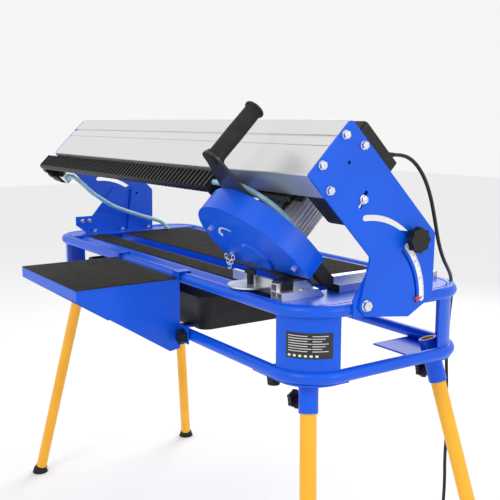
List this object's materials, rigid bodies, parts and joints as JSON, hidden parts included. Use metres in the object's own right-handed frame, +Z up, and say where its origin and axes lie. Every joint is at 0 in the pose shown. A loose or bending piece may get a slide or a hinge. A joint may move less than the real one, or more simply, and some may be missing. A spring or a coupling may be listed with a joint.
{
  "type": "radial rail tile saw",
  "caption": "Wet tile saw: a motor head rides a tilting aluminium rail over a tubular stand with splayed legs, fence, mitre gauge, side table and water tub.",
  "frame": {"origin": "on the floor, in the middle of the footprint of the feet and the side table", "axes": "+X along the bridge towards the switch end, +Y to the rear, +Z up; stored with the bridge at its 45 degree bevel"},
  "size_m": [1.442, 0.7639, 1.1534],
  "materials": {
    "blue_paint": "gloss powder coat",
    "yellow_paint": "gloss powder coat",
    "zinc_steel": "bright zinc",
    "rail_aluminium": "satin anodised",
    "motor_aluminium": "cast and ribbed",
    "black_plastic": "moulded, fine grain",
    "black_rubber": "matt",
    "black_paint": "satin powder coat",
    "blade_steel": "ground, with a sintered rim",
    "hose": "soft translucent vinyl",
    "scale_white": "printed strip",
    "green_plastic": "gloss",
    "red_plastic": "gloss",
    "laminated_iron": "laminated stack",
    "bearing_steel": "ground"
  },
  "bodies": {
    "frame": {"upper_ring": "blue_paint", "lower_ring": "blue_paint", "corner_posts": "blue_paint", "leg_brackets": "blue_paint", "legs": "yellow_paint", "leg_feet": "black_rubber", "leg_knobs": "black_plastic", "bench_pads": "black_rubber", "table_tray": "blue_paint", "end_plates": "blue_paint", "table_mats": "black_rubber", "cross_bearers": "blue_paint", "water_tub": "black_plastic", "drain_plug": "black_rubber", "pump_body": "black_plastic", "fence_bars": "rail_aluminium", "fence_caps": "black_plastic", "end_brackets": "blue_paint", "frame_bolts": "zinc_steel", "pointers": "red_plastic", "feed_hose": "hose", "mains_cable": "black_rubber", "cable_coil": "black_rubber", "mains_plug": "black_rubber"},
    "bridge": {"tilt_plates": "blue_paint", "rail_bolts": "zinc_steel", "angle_scales": "scale_white", "rail": "rail_aluminium", "cable_chain": "black_plastic", "chain_anchor": "zinc_steel", "switch_box": "black_plastic", "cable_gland": "black_rubber", "junction_box": "black_plastic"},
    "near_knob": {"near_clamp_knob": "black_plastic"},
    "far_knob": {"far_clamp_knob": "black_plastic"},
    "carriage": {"carriage_plate": "black_paint", "carriage_rollers": "black_plastic"},
    "head": {"guard_cover": "blue_paint", "guard_back": "blue_paint", "guard_bolts": "zinc_steel", "splash_flap": "black_rubber", "motor_bells": "motor_aluminium", "motor_housing": "motor_aluminium", "hinge_pin": "bearing_steel", "motor_bearings": "bearing_steel", "stator": "laminated_iron", "handle_plate": "black_paint", "grip": "black_rubber", "head_hose": "hose"},
    "spindle": {"rotor_shaft": "laminated_iron", "saw_blade": "blade_steel", "blade_fixings": "zinc_steel"},
    "side_table": {"side_table_frame": "blue_paint", "side_table_mat": "black_rubber", "side_table_knobs": "black_plastic"},
    "gauge_block": {"gauge_clamp": "black_plastic"},
    "gauge_head": {"gauge_arm": "rail_aluminium"},
    "gauge_tee": {"gauge_knob": "black_plastic"},
    "start_key": {"start_button": "green_plastic"},
    "stop_key": {"stop_button": "red_plastic"}
  },
  "joints": [
    {"name": "bevel_tilt", "type": "hinge", "parent": "frame", "child": "bridge", "pos_m": [0, 0, 0.78], "axis": [1, 0, 0], "range_deg": [-45, 0], "deforming": ["mains_cable", "feed_hose"]},
    {"name": "carriage_slide", "type": "slide", "parent": "bridge", "child": "carriage", "axis": [1, 0, 0], "range_m": [-0.84, 0.03], "deforming": ["cable_chain"]},
    {"name": "plunge", "type": "hinge", "parent": "carriage", "child": "head", "pos_m": [0.326, -0.12587, 0.90587], "axis": [0, 0.7071, 0.7071], "range_deg": [-3, 2], "deforming": ["head_hose"]},
    {"name": "spindle_spin", "type": "hinge", "parent": "head", "child": "spindle", "pos_m": [0.422, -0.09122, 0.87122], "axis": [0, 0.7071, 0.7071], "continuous": true},
    {"name": "near_knob_turn", "type": "hinge", "parent": "frame", "child": "near_knob", "pos_m": [0.63, 0.115, 0.895], "axis": [1, 0, 0], "continuous": true},
    {"name": "far_knob_turn", "type": "hinge", "parent": "frame", "child": "far_knob", "pos_m": [-0.574, 0.115, 0.895], "axis": [-1, 0, 0], "continuous": true},
    {"name": "side_table_lift", "type": "slide", "parent": "frame", "child": "side_table", "axis": [0, 0, 1], "range_m": [0, 0.06]},
    {"name": "gauge_slide", "type": "slide", "parent": "frame", "child": "gauge_block", "axis": [0, 1, 0], "range_m": [-0.008, 0.003]},
    {"name": "gauge_swing", "type": "hinge", "parent": "gauge_block", "child": "gauge_head", "pos_m": [0.385, -0.092, 0.788], "axis": [0, 0, 1], "range_deg": [-30, 30]},
    {"name": "gauge_knob_turn", "type": "hinge", "parent": "gauge_block", "child": "gauge_tee", "pos_m": [0.385, -0.092, 0.8], "axis": [0, 0, 1], "continuous": true},
    {"name": "start_press", "type": "slide", "parent": "bridge", "child": "start_key", "axis": [0, -0.7071, -0.7071], "range_m": [0, 0.003], "stiffness_N_per_m": 400, "springref_m": -0.001},
    {"name": "stop_press", "type": "slide", "parent": "bridge", "child": "stop_key", "axis": [0, -0.7071, -0.7071], "range_m": [0, 0.003], "stiffness_N_per_m": 400, "springref_m": -0.001}
  ]
}
